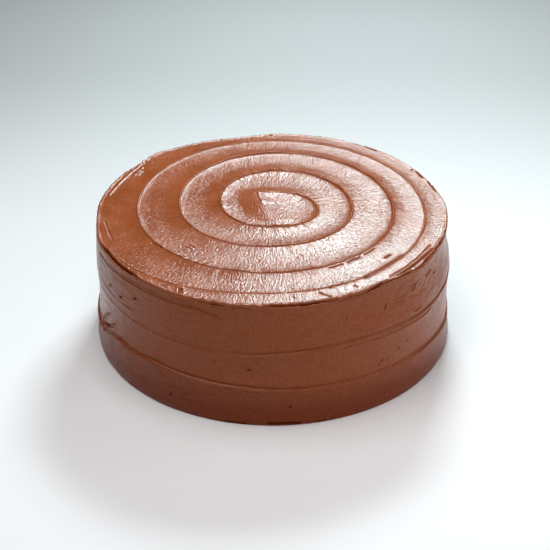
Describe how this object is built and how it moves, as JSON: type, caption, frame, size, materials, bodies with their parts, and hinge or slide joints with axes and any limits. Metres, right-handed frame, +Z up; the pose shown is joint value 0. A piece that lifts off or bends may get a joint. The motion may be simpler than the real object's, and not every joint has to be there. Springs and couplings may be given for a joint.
{
  "type": "chocolate cake",
  "caption": "Round frosted chocolate layer cake, uncut and solid, with a spatula swirl spread on its top, smooth banded sides and a flat underside to stand on.",
  "frame": {"origin": "middle of the underside, at the centre of the cake's box", "axes": "+Z up; +X to the right and -Y towards the viewer as the cake is seen from the front"},
  "size_m": [0.209, 0.2092, 0.0777],
  "materials": {
    "chocolate_buttercream": "satin buttercream with fine drag ripples"
  },
  "bodies": {
    "root": {"cake": "chocolate_buttercream"}
  },
  "joints": []
}
